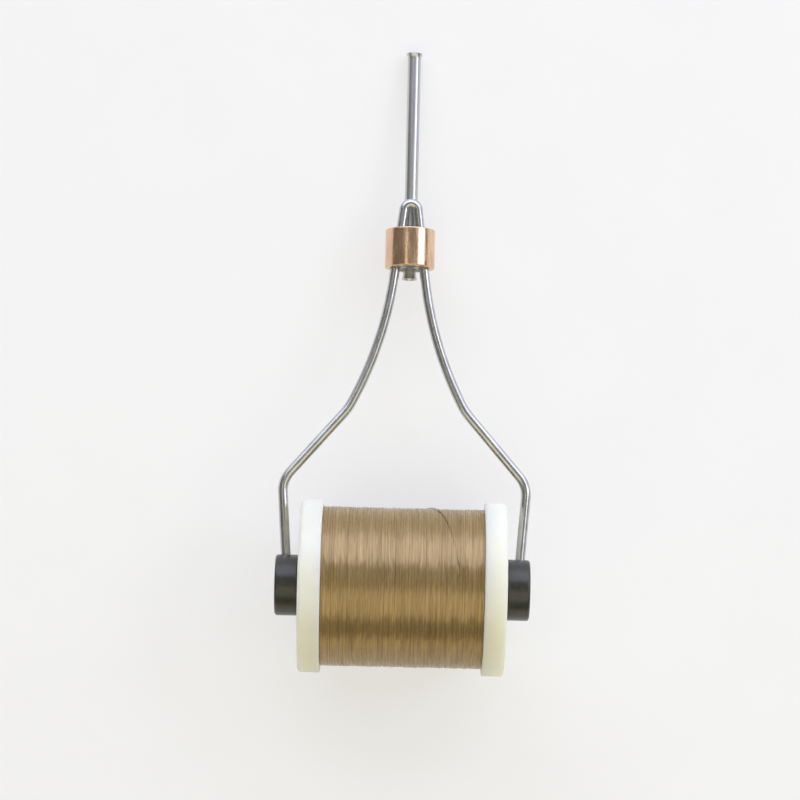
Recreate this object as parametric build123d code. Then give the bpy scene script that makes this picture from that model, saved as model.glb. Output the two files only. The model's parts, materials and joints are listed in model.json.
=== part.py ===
from build123d import *
import os
from math import asin, atan2, cos, degrees, hypot, pi, radians, sin, sqrt, tan

# Bobbin holder for fly tying, in millimetres.
# Two spring-wire arms pinch a thread spool between two feet, and the thread leaves through a steel tube.
# The tool is drawn upright: X along the spool's axle, Z along the tube, the axle through the origin, and
# the wire in the plane Y = 0 with the tube behind it. It is then laid on its back, on the spool's flanges
# and the tip of the tube.

# Spool
spool_width = 29.3
flange_dia = 24.7
flange_thickness = 3.15
flange_chamfer = 0.4
spool_bore = 6.4
hub_wall = 1.6

# Thread: an outer layer of turns over a plain core of the layers below
wound_dia = 22.8
strand_dia = 0.95
turns = 14
lay_gap = 0.03  # between the outer turns and the core
strand_bend = 1.0

# Spring wire
wire_dia = 1.4
wire_sides = 16  # flats that stand for the round
leg_angle = 7.2  # each side of the hairpin from the tube's direction
loop_radius = 1.0
loop_rise = 3.9  # from the collar to the middle of the wire at the loop's top
arm_drop = 20.6  # from the collar's mouth to the knee
bow_lead = 0.5  # straight wire before and after an arm's bow
knee_half = 8.36
knee_drop = 10.6  # from the knee to the shoulder
knee_radius = 8.0
shoulder_clear = 2.65  # above the flanges
shoulder_radius = 4.0
toe_in = 1.1
foot_bend = 1.6
wire_end = 4.4  # from the leg's middle to the wire's end in the nose
cut_gap = 0.05  # between the collar's mouth and the arms

# Feet
foot_dia = 8.7
foot_thickness = 3.4
foot_chamfer = 0.3
end_play = 0.1  # between a foot and the spool
nose_clearance = 0.3
nose_length = 4.0
nose_tip_dia = 4.2
wire_fit = 0.03

# Tube
tube_dia = 1.9
tube_bore = 1.3
tube_above = 26.5  # above the collar
tube_below = 1.4
tip_flare_dia = 2.45
tail_flare_dia = 2.25
flare_length = 0.9
touch_gap = 0.02  # between the tube and the loop

# Collar
collar_length = 5.65
collar_wall = 0.7
collar_fit = 0.06
collar_offset = 0.35  # behind the wire's plane
collar_chamfer = 0.2
solder_recess = 0.5

# Radii and places that follow
flange_r = flange_dia / 2
bore_r = spool_bore / 2
hub_r = bore_r + hub_wall
spool_half = spool_width / 2
flange_face = spool_half - flange_thickness

strand_r = strand_dia / 2
lay_r = wound_dia / 2 - strand_r
core_r = lay_r - strand_r - lay_gap

wire_r = wire_dia / 2
foot_r = foot_dia / 2
foot_face = spool_half + end_play
foot_back = foot_face + foot_thickness
leg_x = foot_face + foot_thickness / 2

shoulder_z = flange_r + shoulder_clear
knee_z = shoulder_z + knee_drop
collar_mouth = knee_z + arm_drop
collar_top = collar_mouth + collar_length

lean = radians(leg_angle)
apex_z = collar_top + loop_rise + loop_radius * (1 / sin(lean) - 1)
cut_z = collar_mouth - wire_r * sin(lean) - cut_gap
cut_x = (apex_z - cut_z) * tan(lean)

tube_r = tube_dia / 2
tip_r = tip_flare_dia / 2
tube_y = wire_r + tube_r + touch_gap
tube_tip = collar_top + tube_above
tube_tail = collar_mouth - tube_below
mouth_half = (apex_z - collar_mouth) * tan(lean)
collar_bore_r = hypot(mouth_half, collar_offset) + wire_r / cos(lean) + collar_fit

# How the tool lies: the lip of the tip is as low as the flanges, and the origin is under the middle
tip_reach = tube_y + tip_r
tilt = asin(flange_r / hypot(tip_reach, tube_tip)) - atan2(tip_reach, tube_tip)
far_end = tube_tip * cos(tilt) - (tube_y - tip_r) * sin(tilt)
lie = Pos(0, (flange_r - far_end) / 2, flange_r) * Rot(X=-90 - degrees(tilt))


def at(x, z):
    """A point or step in the wire's plane."""
    return Vector(x, 0, z)


def upright(outline):
    """A closed outline of (x, z) corners as a face in the wire's plane."""
    return Plane.XZ * make_face(Polyline(*outline, close=True))


def standing(radius, length):
    """A cylinder along Z that stands on the origin."""
    return Cylinder(radius, length, align=(Align.CENTER, Align.CENTER, Align.MIN))


def make_spool():
    right = [
        (spool_half, bore_r),
        (spool_half, flange_r - flange_chamfer),
        (spool_half - flange_chamfer, flange_r),
        (flange_face, flange_r),
        (flange_face, hub_r),
    ]
    left = [(-x, r) for x, r in reversed(right)]
    return revolve(upright(right + left), Axis.X)


def make_core():
    ends = (-flange_face, flange_face)
    outline = [(ends[0], hub_r), (ends[1], hub_r), (ends[1], core_r), (ends[0], core_r)]
    return revolve(upright(outline), Axis.X)


def biarc(start, heading, end, end_heading):
    """Two arcs that leave start and reach end along the given headings."""
    chord = end - start
    spread = 2 * (1 - heading.dot(end_heading))
    along = chord.dot(heading + end_heading)
    reach = (sqrt(along**2 + spread * chord.dot(chord)) - along) / spread
    first = start + heading * reach
    last = end - end_heading * reach
    joint = (first + last) * 0.5
    return [
        Edge.make_tangent_arc(start, heading, joint),
        Edge.make_tangent_arc(joint, last - first, end),
    ]


def winding_path():
    """The outer layer's middle line: a helix of biarcs whose ends turn to meet the flanges squarely."""
    axle = Vector(1, 0, 0)
    half_run = flange_face - strand_dia - strand_bend
    pitch = 2 * half_run / turns
    slope = atan2(pitch, 2 * pi * lay_r)

    def spot(turn):
        angle = 2 * pi * turn
        return Vector(pitch * turn - half_run, lay_r * cos(angle), lay_r * sin(angle))

    def heading(turn):
        angle = 2 * pi * turn
        return Vector(sin(slope), -cos(slope) * sin(angle), cos(slope) * cos(angle))

    bend = strand_bend * tan((pi / 2 - slope) / 2)
    first, last = spot(0), spot(turns)
    rise = first - (heading(0) + axle) * bend
    fall = last + (heading(turns) + axle) * bend
    edges = [
        Edge.make_line(Vector(-flange_face, rise.Y, rise.Z), rise),
        Edge.make_tangent_arc(rise, axle, first),
    ]
    for quarter in range(4 * turns):
        a, b = quarter / 4, (quarter + 1) / 4
        edges += biarc(spot(a), heading(a), spot(b), heading(b))
    edges.append(Edge.make_tangent_arc(last, heading(turns), fall))
    edges.append(Edge.make_line(fall, Vector(flange_face, fall.Y, fall.Z)))
    return Wire(edges)


def least_gap(path):
    """Smallest space between one turn and the next ones, measured on points along the path."""
    per_turn = 24
    count = turns * per_turn
    points = [path @ (i / count) for i in range(count + 1)]
    apart = min(
        (points[i] - points[j]).length
        for i in range(count)
        for j in range(i + per_turn // 2, min(i + 2 * per_turn, count + 1))
    )
    return apart - strand_dia


def make_winding():
    path = winding_path()
    print(f"winding: {turns} turns, least gap to itself {least_gap(path):.2f} mm")
    section = Plane(path @ 0, x_dir=(0, 1, 0), z_dir=path % 0) * RegularPolygon(strand_r, 3)
    return sweep(section, path=path)


def bent_wire(path):
    section = Plane(path @ 0, z_dir=path % 0) * RegularPolygon(wire_r, wire_sides)
    return sweep(section, path=path)


def make_loop():
    """The hairpin's top, which crosses in front of the tube and runs down through the collar."""
    corners = at(-cut_x, cut_z), at(0, apex_z), at(cut_x, cut_z)
    return bent_wire(FilletPolyline(*corners, radius=loop_radius))


def make_arm():
    """The right arm: it bows out from the collar, kinks at the knee and turns down into the foot."""
    start = at(cut_x, cut_z)
    knee = at(knee_half, knee_z)
    shoulder = at(leg_x + toe_in, shoulder_z)
    chord = knee - start
    half_turn = atan2(chord.X, -chord.Z) - lean
    bow_run = chord.length / 2 / cos(half_turn)
    bow = start + at(sin(lean), -cos(lean)) * bow_run
    knee_turn = radians((knee - bow).get_angle(shoulder - knee))
    bow_tangent = bow_run - bow_lead - knee_radius * tan(knee_turn / 2)
    bow_radius = bow_tangent / abs(tan(half_turn))
    corners = start, bow, knee, shoulder, at(leg_x, 0), at(leg_x - wire_end, 0)
    radii = [bow_radius, knee_radius, shoulder_radius, foot_bend]
    return bent_wire(FilletPolyline(*corners, radius=radii))


def make_foot():
    """The right foot: a disc with a conical nose, slotted from the back for the wire's bent end."""
    nose_tip = foot_face - nose_length
    body = revolve(
        upright(
            [
                (nose_tip, 0),
                (nose_tip, nose_tip_dia / 2),
                (foot_face, bore_r - nose_clearance),
                (foot_face, foot_r - foot_chamfer),
                (foot_face + foot_chamfer, foot_r),
                (foot_back - foot_chamfer, foot_r),
                (foot_back, foot_r - foot_chamfer),
                (foot_back, 0),
            ]
        ),
        Axis.X,
    )
    slot_half = wire_r + wire_fit
    slot_floor = leg_x - slot_half
    slot_end = leg_x - wire_end - wire_fit
    elbow = (foot_bend - slot_half) * (2 - sqrt(2))  # corner cut that clears the inside of the bend
    over_rim = foot_dia
    toe = toe_in * over_rim / shoulder_z
    slot = upright(
        [
            (slot_end, -slot_half),
            (foot_back, -slot_half),
            (foot_back, over_rim),
            (slot_floor + toe, over_rim),
            (slot_floor, slot_half + elbow),
            (slot_floor - elbow, slot_half),
            (slot_end, slot_half),
        ]
    )
    return body - extrude(slot, slot_half, both=True)


def make_tube():
    """A drawn tube, belled out at both ends so that the lips don't cut the thread."""
    wall = (tube_dia - tube_bore) / 2
    outer = [
        (tip_r, tube_tip),
        (tube_r, tube_tip - flare_length),
        (tube_r, tube_tail + flare_length),
        (tail_flare_dia / 2, tube_tail),
    ]
    inner = [(r - wall, z) for r, z in reversed(outer)]
    return Pos(0, tube_y, 0) * revolve(upright(outer + inner), Axis.Z)


def make_collar():
    sleeve = standing(collar_bore_r + collar_wall, collar_length)
    sleeve = chamfer(sleeve.edges().filter_by(GeomType.CIRCLE), collar_chamfer)
    return Pos(0, collar_offset, collar_mouth) * (sleeve - standing(collar_bore_r, collar_length))


def make_solder(loop):
    """What fills the collar round the tube and the wire, sunk a little at both ends."""
    depth = collar_length - 2 * solder_recess
    floor = collar_mouth + solder_recess
    fill = Pos(0, collar_offset, floor) * standing(collar_bore_r, depth)
    return fill - Pos(0, tube_y, floor) * standing(tube_r, depth) - loop


def main():
    loop = make_loop()
    arm = make_arm()
    foot = make_foot()
    pieces = {
        "thread_tube": make_tube(),
        "collar": make_collar(),
        "solder_fill": make_solder(loop),
        "wire_loop": loop,
        "left_arm": mirror(arm, Plane.YZ),
        "right_arm": arm,
        "left_foot": mirror(foot, Plane.YZ),
        "right_foot": foot,
        "spool": make_spool(),
        "thread_core": make_core(),
        "thread_winding": make_winding(),
    }
    os.makedirs("parts", exist_ok=True)
    for name, piece in pieces.items():
        export_step(lie * piece, f"parts/{name}.step")


main()
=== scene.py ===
import json
import random
from math import asin, atan2, ceil, cos, exp, hypot, pi, radians, sin, sqrt, tan

import bpy
from mathutils import Matrix, Vector, noise


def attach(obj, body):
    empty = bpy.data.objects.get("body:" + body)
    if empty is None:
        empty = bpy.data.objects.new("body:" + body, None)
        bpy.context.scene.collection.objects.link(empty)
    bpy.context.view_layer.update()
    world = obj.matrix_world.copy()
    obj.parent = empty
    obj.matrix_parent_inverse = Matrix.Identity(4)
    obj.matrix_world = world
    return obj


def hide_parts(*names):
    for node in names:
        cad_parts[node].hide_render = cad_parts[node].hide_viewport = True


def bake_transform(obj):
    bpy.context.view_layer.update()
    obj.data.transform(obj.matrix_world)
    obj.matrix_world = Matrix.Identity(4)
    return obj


# Bobbin holder for fly tying: the dressed pieces, the light and the camera.
# Pieces are drawn upright as in the part's source, X along the spool's axle, Z along the tube and the wire
# in the plane Y = 0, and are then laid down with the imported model. Sizes are in metres.

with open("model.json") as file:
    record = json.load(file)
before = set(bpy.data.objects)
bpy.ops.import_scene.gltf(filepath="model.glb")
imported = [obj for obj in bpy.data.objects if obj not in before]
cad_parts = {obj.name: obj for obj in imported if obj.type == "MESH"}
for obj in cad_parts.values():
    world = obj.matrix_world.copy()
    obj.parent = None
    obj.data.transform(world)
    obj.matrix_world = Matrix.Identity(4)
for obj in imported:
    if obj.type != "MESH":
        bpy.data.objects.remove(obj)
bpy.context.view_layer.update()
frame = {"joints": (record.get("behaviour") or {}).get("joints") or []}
scene = bpy.context.scene
scene.view_settings.view_transform = "Standard"

MM = 0.001

# How the tool lies: the arms' hinges stand square to the wire's plane, so they give its tilt
joints = {joint["name"]: joint for joint in frame["joints"]}
axle = Vector(joints["spool_spin"]["pos_m"])
tilt = asin(joints["right_arm_spread"]["axis"][1])
lie = Matrix.Translation(axle) @ Matrix.Rotation(-pi / 2 - tilt, 4, "X")

# Spool
spool_half = 14.65 * MM
flange_r = 12.35 * MM
flange_thickness = 3.15 * MM
flange_round = 0.55 * MM
inner_round = 0.2 * MM
bore_r = 3.2 * MM
bore_round = 0.45 * MM
hub_wall = 1.6 * MM

# Thread: fine turns over ribbed layers, and one strand that crosses them
wound_r = 11.4 * MM
thread_turns = 150
thread_half_width = 0.086 * MM
thread_half_height = 0.045 * MM
thread_top = 0.05 * MM  # the most that a turn rises
thread_hill = 0.03 * MM  # up or down, some turns together
hill_turns = 5
thread_lift = 0.015 * MM  # up or down, turn by turn
thread_drift = 0.045 * MM  # sideways, turn by turn
thread_ripple = 0.10 * MM  # up or down along each turn
core_depth = 0.2 * MM
core_rib = 0.03 * MM
crossing_half_width = 0.075 * MM
crossing_half_height = 0.06 * MM
crossing_rise = 0.04 * MM

# Spring wire
wire_r = 0.7 * MM
lean = radians(7.2)  # each side of the hairpin from the tube's direction
loop_radius = 1.0 * MM
loop_rise = 3.9 * MM  # from the collar to the middle of the wire at the loop's top
arm_drop = 20.6 * MM  # from the collar's mouth to the knee
bow_lead = 0.5 * MM  # straight wire before and after an arm's bow
knee_half = 8.36 * MM
knee_drop = 10.6 * MM  # from the knee to the shoulder
knee_radius = 8.0 * MM
shoulder_clear = 2.65 * MM  # above the flanges
shoulder_radius = 4.0 * MM
toe_in = 1.1 * MM
foot_bend = 1.6 * MM
wire_end = 4.4 * MM  # from the leg's middle to the wire's end in the nose
cut_gap = 0.05 * MM  # between the collar's mouth and the arms
splice = 1.5 * MM  # how far inside the collar the loop hands over to the arms

# Feet
end_play = 0.1 * MM  # between a foot and the spool
foot_r = 4.35 * MM
foot_thickness = 3.4 * MM
foot_round = 0.4 * MM
nose_length = 4.0 * MM
nose_tip_r = 2.1 * MM
nose_tip_round = 0.3 * MM
nose_clearance = 0.3 * MM
nose_base_round = 0.2 * MM
wire_fit = 0.03 * MM

# Tube
tube_r = 0.95 * MM
tube_wall = 0.3 * MM
tube_above = 26.5 * MM  # above the collar
tube_below = 1.4 * MM
tip_flare_r = 1.225 * MM
tail_flare_r = 1.125 * MM
flare_length = 0.9 * MM
lip_round = 0.06 * MM
touch_gap = 0.02 * MM  # between the tube and the loop

# Collar and solder
collar_y = 0.35 * MM  # behind the wire's plane
collar_length = 5.65 * MM
collar_bore_r = 2.883 * MM
collar_wall = 0.7 * MM
collar_round = 0.19 * MM
collar_bore_round = 0.08 * MM
solder_recess = 0.5 * MM
solder_fit = 0.005 * MM
solder_climb = 0.34 * MM  # where it meets one of the other pieces
solder_fade = 0.28 * MM  # how fast the climb ends
solder_top = 0.45 * MM  # the most that it climbs

# Places that follow
flange_face = spool_half - flange_thickness
hub_r = bore_r + hub_wall

foot_face = spool_half + end_play
foot_back = foot_face + foot_thickness
nose_tip_x = foot_face - nose_length
nose_base_r = bore_r - nose_clearance
slot_half = wire_r + wire_fit

leg_x = foot_face + foot_thickness / 2
wire_tip_x = leg_x - wire_end
shoulder_z = flange_r + shoulder_clear
knee_z = shoulder_z + knee_drop
collar_mouth = knee_z + arm_drop
collar_top = collar_mouth + collar_length
collar_r = collar_bore_r + collar_wall
apex_z = collar_top + loop_rise + loop_radius * (1 / sin(lean) - 1)  # where the hairpin's sides would cross
cut_z = collar_mouth - wire_r * sin(lean) - cut_gap  # where the arms begin

tube_y = wire_r + tube_r + touch_gap
tube_tip = collar_top + tube_above
tube_tail = collar_mouth - tube_below


# Shapes


def rounded_line(corners, closed=False, spacing=0.6 * MM):
    """Flat points along straight runs between (x, y, radius) corners, with an arc at each that has a radius.
    Neighbouring points are no further apart than the spacing."""
    arc_step = radians(6)
    fewest_steps = 3
    spots = [Vector((x, y)) for x, y, radius in corners]
    points = []
    for i, spot in enumerate(spots):
        radius = corners[i][2]
        if radius == 0:
            points.append(spot)
            continue
        back = (spots[i - 1] - spot).normalized()
        ahead = (spots[(i + 1) % len(spots)] - spot).normalized()
        half = back.angle(ahead) / 2
        centre = spot + (back + ahead).normalized() * (radius / sin(half))
        first = spot + back * (radius / tan(half)) - centre
        last = spot + ahead * (radius / tan(half)) - centre
        start_angle = atan2(first.y, first.x)
        sweep = (atan2(last.y, last.x) - start_angle + pi) % (2 * pi) - pi
        steps = max(fewest_steps, ceil(abs(sweep) / arc_step), ceil(abs(sweep) * radius / spacing))
        for step in range(steps + 1):
            angle = start_angle + sweep * step / steps
            points.append(centre + Vector((cos(angle), sin(angle))) * radius)
    if closed:
        points.append(points[0])
    line = [points[0]]
    for start, end in zip(points, points[1:]):
        run = end - start
        parts = max(1, ceil(run.length / spacing))
        line += [start + run * (part / parts) for part in range(1, parts + 1)]
    return line[:-1] if closed else line


def skin(name, rings, closed_rings=False, around=1.0, smooth=True):
    """A mesh over rings of points, with flat caps unless the last ring meets the first. Its map runs in
    millimetres from ring to ring, and up to the value of around along each ring."""
    sides = len(rings[0])
    count = len(rings)
    vertices = [point for ring in rings for point in ring]
    lengths = [0.0]
    for ring, following in zip(rings, rings[1:] + rings[:1]):
        lengths.append(lengths[-1] + (following[0] - ring[0]).length / MM)
    faces = []
    places = []
    for i in range(count if closed_rings else count - 1):
        below, above = i * sides, (i + 1) % count * sides
        low, high = lengths[i], lengths[i + 1]
        for j in range(sides):
            k = (j + 1) % sides
            faces.append((below + j, below + k, above + k, above + j))
            left, right = around * j / sides, around * (j + 1) / sides
            places += [(low, left), (low, right), (high, right), (high, left)]
    smoothed = [smooth] * len(faces)
    if not closed_rings:
        last = (count - 1) * sides
        faces.append(tuple(reversed(range(sides))))
        faces.append(tuple(last + j for j in range(sides)))
        places += [(0.0, 0.0)] * (2 * sides)
        smoothed += [False, False]
    mesh = bpy.data.meshes.new(name)
    mesh.from_pydata(vertices, [], faces)
    layer = mesh.uv_layers.new(name="Lay")
    layer.data.foreach_set("uv", [number for place in places for number in place])
    mesh.polygons.foreach_set("use_smooth", smoothed)
    mesh.transform(lie)
    mesh.update()
    piece = bpy.data.objects.new(name, mesh)
    scene.collection.objects.link(piece)
    faces_out(piece)
    return piece


def faces_out(piece):
    """Turns the faces outward, whichever way round the rings went."""
    volume = 0.0
    mesh = piece.data
    mesh.calc_loop_triangles()
    for triangle in mesh.loop_triangles:
        a, b, c = (mesh.vertices[i].co for i in triangle.vertices)
        volume += a.dot(b.cross(c))
    if volume < 0:
        mesh.flip_normals()
        mesh.update()


def sharpen(piece, least_degrees):
    """Keeps edges crisp where two faces meet at more than the given angle."""
    piece.data.set_sharp_from_angle(angle=radians(least_degrees))


def about_axle(along, radius, angle):
    return Vector((along, radius * sin(angle), radius * cos(angle)))


def about_tube(along, radius, angle):
    return Vector((radius * sin(angle), tube_y - radius * cos(angle), along))


def about_collar(along, radius, angle):
    return Vector((radius * sin(angle), collar_y - radius * cos(angle), along))


def turned(name, profile, about, segments):
    """A ring-shaped solid: a closed profile of (along, radius) points turned about a line."""
    rings = []
    for step in range(segments):
        angle = 2 * pi * step / segments
        rings.append([about(along, radius, angle) for along, radius in profile])
    return skin(name, rings, closed_rings=True)


def bent_wire(name, line):
    """Round wire along flat (x, z) points."""
    sides = 36
    rings = []
    for i, point in enumerate(line):
        before, after = line[max(i - 1, 0)], line[min(i + 1, len(line) - 1)]
        heading = (after - before).normalized()
        side = Vector((-heading.y, heading.x))
        ring = []
        for j in range(sides):
            angle = 2 * pi * j / sides
            out = side * (wire_r * cos(angle))
            ring.append(Vector((point.x + out.x, wire_r * sin(angle), point.y + out.y)))
        rings.append(ring)
    piece = skin(name, rings, around=2 * pi * wire_r / MM)
    sharpen(piece, 60)
    return piece


def wound(name, places, half_width, half_height):
    """Thread laid along (x, radius, angle) places round the axle."""
    sides = 6
    rings = []
    for x, radius, angle in places:
        out = Vector((0, sin(angle), cos(angle)))
        ring = []
        for j in range(sides):
            turn = 2 * pi * j / sides
            across = half_width * sin(turn)
            ring.append(out * (radius + half_height * cos(turn)) + Vector((x + across, 0, 0)))
        rings.append(ring)
    piece = skin(name, rings)
    sharpen(piece, 60)
    return piece


def cut_out(piece, outline, depth):
    """Cuts a slot: a flat (x, z) outline pushed through the piece by the given depth each way."""
    rings = [[Vector((x, y, z)) for x, z in outline] for y in (-depth, depth)]
    cutter = skin("cutter", rings, smooth=False)
    cut = piece.modifiers.new("slot", "BOOLEAN")
    cut.operation = "DIFFERENCE"
    cut.solver = "EXACT"
    cut.object = cutter
    bpy.context.view_layer.update()
    whole = piece.evaluated_get(bpy.context.evaluated_depsgraph_get())
    mesh = bpy.data.meshes.new_from_object(whole)
    piece.modifiers.clear()
    piece.data = mesh
    bpy.data.objects.remove(cutter)


# Pieces


def make_spool():
    right = [
        (spool_half, bore_r, bore_round),
        (spool_half, flange_r, flange_round),
        (flange_face, flange_r, inner_round),
        (flange_face, hub_r, 0),
    ]
    left = [(-x, r, fillet) for x, r, fillet in reversed(right)]
    profile = rounded_line(right + left, closed=True, spacing=2.0 * MM)
    piece = turned("spool_moulding", profile, about_axle, segments=192)
    sharpen(piece, 50)
    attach(piece, "spool")
    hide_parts("spool")
    return piece


def make_core():
    """The layers below the outer turns, ribbed like them."""
    half_ribs = 2 * thread_turns
    core_r = wound_r - core_depth
    top = []
    for i in range(half_ribs + 1):
        x = -flange_face + 2 * flange_face * i / half_ribs
        groove = core_rib if i % 2 else 0
        top.append((x, core_r - groove))
    profile = top + [(flange_face, hub_r), (-flange_face, hub_r)]
    piece = turned("thread_layers", profile, about_axle, segments=64)
    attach(piece, "spool")
    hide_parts("thread_core")
    return piece


def smooth_draws(draw, count, reach):
    """A function that runs smoothly through random values, one for each whole number."""
    values = [draw.uniform(-reach, reach) for i in range(count + 2)]

    def value(place):
        whole = int(place)
        part = place - whole
        part = part * part * (3 - 2 * part)
        return values[whole] + (values[whole + 1] - values[whole]) * part

    return value


def ripple(x, angle):
    """Unevenness of the layers below, in patches a turn or two wide and a millimetre or two long."""
    patch_width, patch_length = 0.25 * MM, 1.7 * MM
    place = about_axle(x / patch_width, wound_r / patch_length, angle)
    return thread_ripple * noise.noise(place)


def make_winding():
    """Close turns that ride a little high or low, wander sideways and ripple along their length."""
    draw = random.Random(11)
    per_turn = 90
    end_gap = 0.02 * MM
    steady_run = 0.4 * MM  # beside the flanges, where the turns wander less
    lay_r = wound_r - thread_half_height - thread_top
    half_run = flange_face - thread_half_width - end_gap
    hill = smooth_draws(draw, thread_turns // hill_turns + 1, thread_hill)
    lift = smooth_draws(draw, thread_turns, thread_lift)
    drift = smooth_draws(draw, thread_turns, thread_drift)
    places = []
    for step in range(thread_turns * per_turn + 1):
        turn = step / per_turn
        angle = 2 * pi * turn
        x = -half_run + 2 * half_run * turn / thread_turns
        freedom = min(1.0, (half_run - abs(x)) / steady_run)
        rise = hill(turn / hill_turns) + lift(turn) + ripple(x, angle)
        places.append((x + drift(turn) * freedom, lay_r + min(rise, thread_top), angle))
    piece = wound("thread_turns", places, thread_half_width, thread_half_height)
    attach(piece, "spool")
    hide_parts("thread_winding")
    return piece


def make_crossing():
    """One strand that crosses the outer turns on the side of the tip, tucked under them at both ends.
    Its course is counted in sectors of a turn, along which it slants more and more."""
    steps = 90
    tuck_steps = 8
    tuck_depth = 0.15 * MM
    sector = radians(60.0)
    first_sector, last_sector = -0.15, 1.6
    start_angle = radians(22.8)  # from the top of the spool, at sector 0
    start_x = 7.8 * MM
    slant, bend = 1.93 * MM, 1.19 * MM
    places = []
    for step in range(steps + 1):
        sectors = first_sector + (last_sector - first_sector) * step / steps
        x = start_x - slant * sectors - bend * sectors * sectors
        free = min(1.0, step / tuck_steps, (steps - step) / tuck_steps)
        radius = wound_r + crossing_rise - tuck_depth * (1 - free)
        from_top = start_angle + sector * sectors
        places.append((x, radius, from_top - pi / 2 - tilt))
    piece = wound("crossing_strand", places, crossing_half_width, crossing_half_height)
    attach(piece, "spool")
    return piece


def leg_at(z):
    """A point of the hairpin's right leg."""
    return Vector(((apex_z - z) * tan(lean), z))


def make_loop():
    leg_x_low, leg_z_low = leg_at(collar_mouth + splice)
    line = rounded_line([(-leg_x_low, leg_z_low, 0), (0, apex_z, loop_radius), (leg_x_low, leg_z_low, 0)])
    piece = bent_wire("loop_wire", line)
    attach(piece, "frame")
    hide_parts("wire_loop")
    return piece


def arm_line():
    """The right arm from inside the collar: it bows out, kinks at the knee and turns down into the foot."""
    start = leg_at(cut_z)
    knee = Vector((knee_half, knee_z))
    shoulder = Vector((leg_x + toe_in, shoulder_z))
    chord = knee - start
    half_turn = atan2(chord.x, -chord.y) - lean
    bow_run = chord.length / 2 / cos(half_turn)
    bow = start + Vector((sin(lean), -cos(lean))) * bow_run
    knee_turn = (knee - bow).angle(shoulder - knee)
    bow_radius = (bow_run - bow_lead - knee_radius * tan(knee_turn / 2)) / abs(tan(half_turn))
    return rounded_line(
        [
            (*leg_at(collar_mouth + splice), 0),
            (*bow, bow_radius),
            (*knee, knee_radius),
            (*shoulder, shoulder_radius),
            (leg_x, 0, foot_bend),
            (wire_tip_x, 0, 0),
        ]
    )


def make_arm(side):
    """One arm's wire, which starts inside the collar."""
    line = arm_line()
    if side == "left":
        line = [Vector((-point.x, point.y)) for point in line]
    piece = bent_wire(f"{side}_arm_wire", line)
    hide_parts(f"{side}_arm")
    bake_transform(piece)
    return piece


def make_foot(side):
    """A moulded disc with a conical nose, slotted from the back for the wire's bent end."""
    sign = 1 if side == "right" else -1
    segments = 96
    corners = [
        (nose_tip_x, 0, 0),
        (nose_tip_x, nose_tip_r, nose_tip_round),
        (foot_face, nose_base_r, nose_base_round),
        (foot_face, foot_r, foot_round),
        (foot_back, foot_r, foot_round),
        (foot_back, 0, 0),
    ]
    outline = rounded_line(corners, spacing=1.5 * MM)
    rings = []
    for x, radius in outline[1:-1]:  # both ends lie on the axle, where flat caps close the skin
        rings.append([about_axle(sign * x, radius, 2 * pi * j / segments) for j in range(segments)])
    piece = skin(f"{side}_foot_moulding", rings)
    slot_floor = leg_x - slot_half
    slot_end = wire_tip_x - wire_fit
    past_back = foot_back + 1.0 * MM
    past_rim = 2 * foot_r
    toe = toe_in * past_rim / shoulder_z
    elbow = (foot_bend - slot_half) * (2 - sqrt(2))  # corner cut that clears the inside of the bend
    slot = [
        (slot_end, -slot_half),
        (past_back, -slot_half),
        (past_back, past_rim),
        (slot_floor + toe, past_rim),
        (slot_floor, slot_half + elbow),
        (slot_floor - elbow, slot_half),
        (slot_end, slot_half),
    ]
    cut_out(piece, [(sign * x, z) for x, z in slot], slot_half)
    sharpen(piece, 40)
    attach(piece, f"{side}_arm")
    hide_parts(f"{side}_foot")
    return piece


def flare(lip_z, lip_r, inward):
    """A belled end: (z, radius) points from the straight tube to its lip."""
    steps = 10
    points = []
    for i in range(steps + 1):
        part = i / steps
        points.append((lip_z + inward * flare_length * (1 - part), tube_r + (lip_r - tube_r) * part * part))
    return points


def make_tube():
    """A drawn tube whose belled lips are rolled smooth."""
    tail = flare(tube_tail, tail_flare_r, inward=1)
    tip = flare(tube_tip, tip_flare_r, inward=-1)
    outside = tail[::-1] + tip
    inside = [(z, r - tube_wall) for z, r in reversed(outside)]
    lips = {outside[0], outside[-1], inside[0], inside[-1]}
    corners = [(*spot, lip_round if spot in lips else 0) for spot in outside + inside]
    profile = rounded_line(corners, closed=True, spacing=3.0 * MM)
    piece = turned("drawn_tube", profile, about_tube, segments=96)
    sharpen(piece, 60)
    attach(piece, "frame")
    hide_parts("thread_tube")
    return piece


def make_collar():
    corners = [
        (collar_mouth, collar_bore_r, collar_bore_round),
        (collar_mouth, collar_r, collar_round),
        (collar_top, collar_r, collar_round),
        (collar_top, collar_bore_r, collar_bore_round),
    ]
    profile = rounded_line(corners, closed=True, spacing=1.0 * MM)
    piece = turned("collar_sleeve", profile, about_collar, segments=128)
    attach(piece, "frame")
    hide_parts("collar")
    return piece


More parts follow.
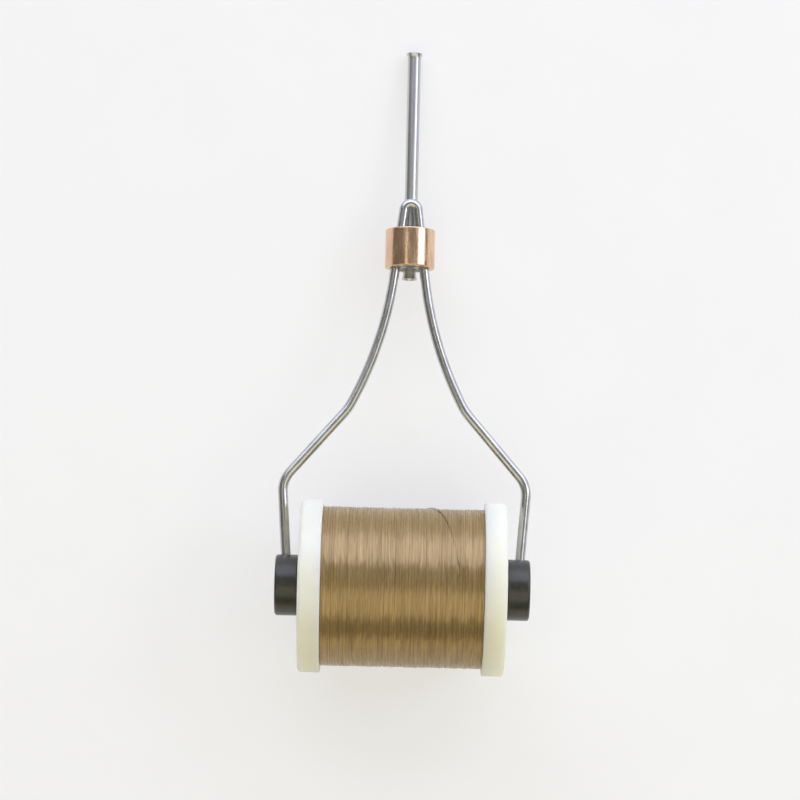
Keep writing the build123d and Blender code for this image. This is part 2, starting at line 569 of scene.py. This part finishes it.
def make_solder():
    """The fill inside the collar: its ends climb a little where they meet the metal."""
    segments = 72
    steps = 24
    fill_r = collar_bore_r - solder_fit

    def height(x, y, z):
        leg = leg_at(z).x
        gaps = [
            fill_r - hypot(x, y - collar_y),
            abs(hypot(x, y - tube_y) - tube_r),
            abs(hypot(x - leg, y) - wire_r),
            abs(hypot(x + leg, y) - wire_r),
        ]
        climbs = [solder_climb * exp(-max(gap, 0) / solder_fade) for gap in gaps]
        return min(sum(climbs), solder_top)

    def end_rings(z, outward):
        rings = []
        for i in range(1, steps + 1):
            radius = fill_r * i / steps
            ring = []
            for j in range(segments):
                point = about_collar(z, radius, 2 * pi * j / segments)
                point.z += outward * height(point.x, point.y, z)
                ring.append(point)
            rings.append(ring)
        return rings

    low = end_rings(collar_mouth + solder_recess, outward=-1)
    high = end_rings(collar_top - solder_recess, outward=1)
    piece = skin("solder_joint", low + high[::-1])
    sharpen(piece, 60)
    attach(piece, "frame")
    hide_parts("solder_fill")
    return piece


# Materials


def fill_ramp(node, stops):
    """Gives a ramp its stops, each a position with a colour or a grey."""
    elements = node.color_ramp.elements
    while len(elements) < len(stops):
        elements.new(0.5)
    for element, (position, colour) in zip(elements, stops):
        if isinstance(colour, float):
            colour = (colour, colour, colour)
        element.position = position
        element.color = (*colour, 1.0)


class Finish:
    """A material's nodes, added one call at a time."""

    def __init__(self, name):
        self.material = bpy.data.materials.new(name)
        self.material.use_nodes = True
        self.nodes = self.material.node_tree.nodes
        self.links = self.material.node_tree.links
        self.shader = self.nodes["Principled BSDF"]

    def set(self, **values):
        for name, value in values.items():
            self.shader.inputs[name.replace("_", " ")].default_value = value

    def places(self, source, stretch):
        coordinates = self.nodes.new("ShaderNodeTexCoord")
        mapping = self.nodes.new("ShaderNodeMapping")
        mapping.inputs["Scale"].default_value = stretch
        self.links.new(coordinates.outputs[source], mapping.inputs["Vector"])
        return mapping.outputs["Vector"]

    def noise(self, source, stretch, detail, rough=0.55):
        """Noise whose stretch says how many patches go to a metre of the object or a unit of its map."""
        texture = self.nodes.new("ShaderNodeTexNoise")
        texture.inputs["Scale"].default_value = 1.0
        texture.inputs["Detail"].default_value = detail
        texture.inputs["Roughness"].default_value = rough
        self.links.new(self.places(source, stretch), texture.inputs["Vector"])
        return texture.outputs["Fac"]

    def ramp(self, value, *stops):
        node = self.nodes.new("ShaderNodeValToRGB")
        fill_ramp(node, stops)
        self.links.new(value, node.inputs["Fac"])
        return node.outputs["Color"]

    def multiply(self, a, b):
        node = self.nodes.new("ShaderNodeMix")
        node.data_type = "RGBA"
        node.blend_type = "MULTIPLY"
        node.inputs["Factor"].default_value = 1.0
        self.links.new(a, node.inputs["A"])
        self.links.new(b, node.inputs["B"])
        return node.outputs["Result"]

    def bump(self, height, depth, strength):
        node = self.nodes.new("ShaderNodeBump")
        node.inputs["Strength"].default_value = strength
        node.inputs["Distance"].default_value = depth
        self.links.new(height, node.inputs["Height"])
        self.links.new(node.outputs["Normal"], self.shader.inputs["Normal"])

    def feed(self, output, name):
        self.links.new(output, self.shader.inputs[name])

    def on(self, *pieces):
        for piece in pieces:
            piece.data.materials.clear()
            piece.data.materials.append(self.material)


def metal(name, light, dark, smooth, dull):
    """Drawn metal with a faint haze. On wires its roughness runs in fine lines along them."""
    finish = Finish(name)
    finish.set(Metallic=1.0)
    lines = finish.noise("UV", (0.12, 14.0, 1.0), detail=5.0)
    haze = finish.noise("UV", (0.5, 0.7, 1.0), detail=3.0)
    finish.feed(finish.ramp(haze, (0.35, dark), (0.65, light)), "Base Color")
    finish.feed(finish.ramp(lines, (0.3, smooth), (0.7, dull)), "Roughness")
    finish.bump(lines, depth=0.01 * MM, strength=0.25)
    return finish


def copper():
    """Polished copper, a little stained, with fine streaks along the tool."""
    stained, bright = (0.80, 0.53, 0.34), (0.92, 0.65, 0.45)
    finish = Finish("copper")
    finish.set(Metallic=1.0)
    streaks = finish.noise("Object", (2600.0, 160.0, 2600.0), detail=5.0)
    stain = finish.noise("Object", (420.0, 260.0, 420.0), detail=4.0)
    colour = finish.ramp(stain, (0.35, stained), (0.62, bright))
    shade = finish.ramp(streaks, (0.3, 0.82), (0.65, 1.0))
    finish.feed(finish.multiply(colour, shade), "Base Color")
    finish.feed(finish.ramp(streaks, (0.3, 0.20), (0.7, 0.30)), "Roughness")
    finish.bump(streaks, depth=0.012 * MM, strength=0.3)
    return finish


def solder():
    """Dull, lumpy solder."""
    dark, light = (0.30, 0.29, 0.27), (0.55, 0.54, 0.51)
    finish = Finish("solder")
    finish.set(Metallic=1.0)
    lumps = finish.noise("Object", (1600.0, 1600.0, 1600.0), detail=4.0)
    finish.feed(finish.ramp(lumps, (0.3, dark), (0.7, light)), "Base Color")
    finish.feed(finish.ramp(lumps, (0.3, 0.28), (0.7, 0.5)), "Roughness")
    finish.bump(lumps, depth=0.06 * MM, strength=0.4)
    return finish


def foot_plastic():
    """Dark moulded plastic with a fine grain and a faint haze."""
    dark, light = (0.027, 0.027, 0.021), (0.038, 0.038, 0.030)
    finish = Finish("foot_plastic")
    finish.set(Specular_IOR_Level=0.6)
    grain = finish.noise("Object", (7000.0, 7000.0, 7000.0), detail=3.0)
    haze = finish.noise("Object", (500.0, 500.0, 500.0), detail=4.0)
    finish.feed(finish.ramp(haze, (0.3, dark), (0.7, light)), "Base Color")
    finish.feed(finish.ramp(grain, (0.3, 0.25), (0.7, 0.35)), "Roughness")
    finish.bump(grain, depth=0.02 * MM, strength=0.35)
    return finish


def spool_plastic():
    """Milky plastic that light soaks into, with a faint swirl."""
    cream, pale = (0.87, 0.855, 0.71), (0.91, 0.90, 0.77)
    finish = Finish("spool_plastic")
    finish.set(Subsurface_Weight=1.0, Subsurface_Scale=4.0 * MM, Subsurface_Radius=(1.0, 0.9, 0.55))
    swirl = finish.noise("Object", (130.0, 130.0, 130.0), detail=4.0)
    grain = finish.noise("Object", (3500.0, 3500.0, 3500.0), detail=2.0)
    finish.feed(finish.ramp(swirl, (0.3, cream), (0.7, pale)), "Base Color")
    finish.feed(finish.ramp(grain, (0.3, 0.34), (0.7, 0.46)), "Roughness")
    finish.bump(grain, depth=0.01 * MM, strength=0.2)
    return finish


def thread():
    """Silky thread: its dye and its strands are uneven, and it is twisted."""
    brown, tan_dye = (0.378, 0.253, 0.099), (0.449, 0.303, 0.128)
    twist_stretch = (1.2, 1.257, 1.0)  # two waves go round the thread
    finish = Finish("thread")
    finish.set(Metallic=0.47, Specular_IOR_Level=0.75)
    strand = finish.noise("Object", (5200.0, 120.0, 120.0), detail=3.0)
    dye = finish.noise("Object", (700.0, 90.0, 90.0), detail=3.0)
    colour = finish.ramp(dye, (0.3, brown), (0.7, tan_dye))
    shade = finish.ramp(strand, (0.3, 0.62), (0.65, 1.0))
    finish.feed(finish.multiply(colour, shade), "Base Color")
    finish.feed(finish.ramp(strand, (0.3, 0.32), (0.7, 0.22)), "Roughness")
    twist = finish.nodes.new("ShaderNodeTexWave")
    twist.bands_direction = "DIAGONAL"
    twist.inputs["Scale"].default_value = 1.0
    finish.links.new(finish.places("UV", twist_stretch), twist.inputs["Vector"])
    finish.bump(twist.outputs["Fac"], depth=0.005 * MM, strength=0.2)
    return finish


def paper():
    """White paper. What is seen of it, straight or in metal, is lifted over halfway to its own colour."""
    lift_share = 0.57
    grey, white = 0.945, 0.962
    finish = Finish("paper")
    mottle = finish.noise("Object", (60.0, 60.0, 60.0), detail=6.0, rough=0.65)
    colour = finish.ramp(mottle, (0.3, grey), (0.7, white))
    finish.feed(colour, "Base Color")
    finish.set(Roughness=0.8, Specular_IOR_Level=0.2)
    nodes, links = finish.nodes, finish.links

    def larger(a, b):
        node = nodes.new("ShaderNodeMath")
        node.operation = "MAXIMUM"
        links.new(a, node.inputs[0])
        links.new(b, node.inputs[1])
        return node.outputs["Value"]

    path = nodes.new("ShaderNodeLightPath")
    seen = larger(path.outputs["Is Camera Ray"], path.outputs["Is Glossy Ray"])
    seen = larger(seen, path.outputs["Is Transmission Ray"])
    share = nodes.new("ShaderNodeMath")
    share.operation = "MULTIPLY"
    share.inputs[1].default_value = lift_share
    links.new(seen, share.inputs[0])
    glow = nodes.new("ShaderNodeEmission")
    links.new(colour, glow.inputs["Color"])
    lifted = nodes.new("ShaderNodeMixShader")
    links.new(share.outputs["Value"], lifted.inputs["Fac"])
    links.new(finish.shader.outputs["BSDF"], lifted.inputs[1])
    links.new(glow.outputs["Emission"], lifted.inputs[2])
    links.new(lifted.outputs["Shader"], nodes["Material Output"].inputs["Surface"])
    return finish


# Floor, light and camera


def make_floor():
    half = 1.6
    corners = [(-half, -half, 0), (half, -half, 0), (half, half, 0), (-half, half, 0)]
    mesh = bpy.data.meshes.new("floor")
    mesh.from_pydata(corners, [], [(0, 1, 2, 3)])
    floor = bpy.data.objects.new("floor", mesh)
    scene.collection.objects.link(floor)
    paper().on(floor)


def make_world():
    """A dim, warm room that is a little paler overhead."""
    stops = [
        (0.0, (0.14, 0.133, 0.115)),
        (0.5, (0.18, 0.17, 0.145)),
        (0.85, (0.20, 0.19, 0.16)),
    ]
    world = bpy.data.worlds.new("room")
    scene.world = world
    world.use_nodes = True
    nodes, links = world.node_tree.nodes, world.node_tree.links
    coordinates = nodes.new("ShaderNodeTexCoord")
    parts = nodes.new("ShaderNodeSeparateXYZ")
    links.new(coordinates.outputs["Generated"], parts.inputs["Vector"])
    height = nodes.new("ShaderNodeValToRGB")
    fill_ramp(height, stops)
    links.new(parts.outputs["Z"], height.inputs["Fac"])
    links.new(height.outputs["Color"], nodes["Background"].inputs["Color"])
    nodes["Background"].inputs["Strength"].default_value = 1.0


def area_light(name, place, size, watts, colour):
    """A soft light of the given width and height that faces the middle of the tool."""
    middle = Vector((0, -5.0 * MM, 10.0 * MM))
    lamp = bpy.data.lights.new(name, "AREA")
    lamp.shape = "RECTANGLE"
    lamp.size, lamp.size_y = size
    lamp.energy = watts
    lamp.color = colour
    light = bpy.data.objects.new(name, lamp)
    light.location = place
    light.rotation_euler = (middle - Vector(place)).to_track_quat("-Z", "Y").to_euler()
    scene.collection.objects.link(light)


def make_lights():
    """Cool light from beyond the tip, high and low, a window to the right and a small light high on the left,
    and warm light from a lamp almost overhead and from low on the spool's side."""
    cool = (0.64, 0.68, 0.87)
    day = (0.76, 0.80, 0.94)
    cream = (1.0, 0.97, 0.85)
    warm = (1.0, 0.945, 0.69)
    amber = (1.0, 0.87, 0.60)
    area_light("top", (0.06, 0.504, 0.347), (1.50, 0.465), 5.95, cool)
    area_light("sill", (0.06, 0.596, 0.0865), (1.50, 0.11), 1.10, cool)
    area_light("right", (0.505, 0.15, 0.36), (0.17, 0.35), 0.72, day)
    area_light("left", (-0.16, 0.145, 0.58), (0.05, 0.12), 0.06, cream)
    area_light("lamp", (0.04, -0.235, 0.575), (1.60, 0.46), 2.40, warm)
    area_light("low", (-0.05, -0.56, 0.075), (1.10, 0.15), 0.45, amber)


def make_camera():
    """Straight down, turned so that the tool leans a little clockwise."""
    place = (-0.95 * MM, -5.9 * MM, 430.0 * MM)
    turn = radians(1.35)
    focal_pixels = 2923.0
    image_pixels = 800.0
    sensor_width = 36.0  # millimetres
    camera = bpy.data.cameras.new("camera")
    camera.sensor_width = sensor_width
    camera.lens = focal_pixels / image_pixels * sensor_width
    camera.clip_start = 0.01
    camera.clip_end = 10.0
    holder = bpy.data.objects.new("camera", camera)
    holder.location = place
    holder.rotation_euler = (0, 0, turn)
    scene.collection.objects.link(holder)
    scene.camera = holder


# The whole scene

spool = make_spool()
core = make_core()
winding = make_winding()
crossing = make_crossing()
loop = make_loop()
left_arm = make_arm("left")
right_arm = make_arm("right")
left_foot = make_foot("left")
right_foot = make_foot("right")
tube = make_tube()
collar = make_collar()
fill = make_solder()

steel = metal("steel", light=(0.655, 0.66, 0.665), dark=(0.565, 0.57, 0.575), smooth=0.28, dull=0.38)
wire = metal("spring_wire", light=(0.61, 0.615, 0.62), dark=(0.50, 0.505, 0.51), smooth=0.20, dull=0.32)
steel.on(tube)
wire.on(loop, left_arm, right_arm)
copper().on(collar)
solder().on(fill)
foot_plastic().on(left_foot, right_foot)
spool_plastic().on(spool)
thread().on(core, winding, crossing)

make_floor()
make_world()
make_lights()
make_camera()
